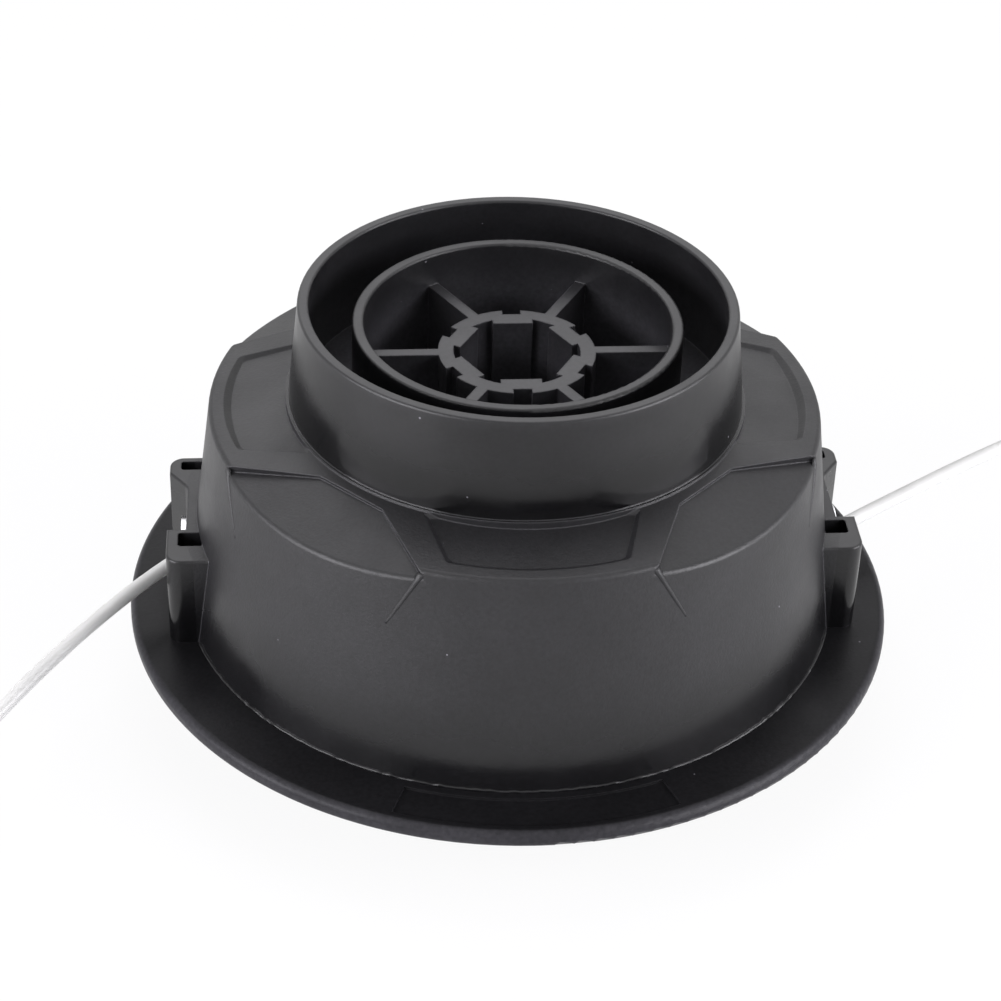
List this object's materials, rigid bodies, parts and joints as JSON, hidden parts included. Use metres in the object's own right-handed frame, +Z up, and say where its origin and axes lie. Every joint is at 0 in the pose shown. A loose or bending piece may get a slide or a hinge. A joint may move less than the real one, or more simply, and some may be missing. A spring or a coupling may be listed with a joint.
{
  "type": "bump feed trimmer head",
  "caption": "Bump feed line trimmer head with a flanged drum, hex drive hub, sprung spool and tap knob, and two nylon line ends.",
  "frame": {"origin": "centre of the knob's foot, on the surface that the head stands on", "axes": "+Z up the drive axis towards the hex hub; the lines leave at the -X and +X sides"},
  "size_m": [0.2135, 0.129, 0.0707],
  "materials": {
    "housing_plastic": "fine grained",
    "cover_plastic": "satin",
    "spool_plastic": "satin",
    "knob_plastic": "satin",
    "eyelet_metal": "polished",
    "spring_steel": "bright",
    "nylon_line": "translucent"
  },
  "bodies": {
    "housing": {"upper_housing": "housing_plastic", "lower_cover": "cover_plastic", "eyelet_left": "eyelet_metal", "eyelet_right": "eyelet_metal", "line_left": "nylon_line", "line_right": "nylon_line", "spring": "spring_steel"},
    "knob": {"bump_knob": "knob_plastic"},
    "spool_set": {"spool": "spool_plastic", "line_winding_lower": "nylon_line", "line_winding_upper": "nylon_line", "spring_washer": "spring_steel"}
  },
  "joints": [
    {"name": "bump_press", "type": "slide", "parent": "housing", "child": "knob", "axis": [0, 0, 1], "range_m": [0, 0.0055], "stiffness_N_per_m": 1200, "springref_m": -0.012, "deforming": ["spring"]},
    {"name": "spool_turn", "type": "hinge", "parent": "knob", "child": "spool_set", "pos_m": [0, 0, 0.03], "axis": [0, 0, 1], "range_deg": [-14, 0]}
  ]
}
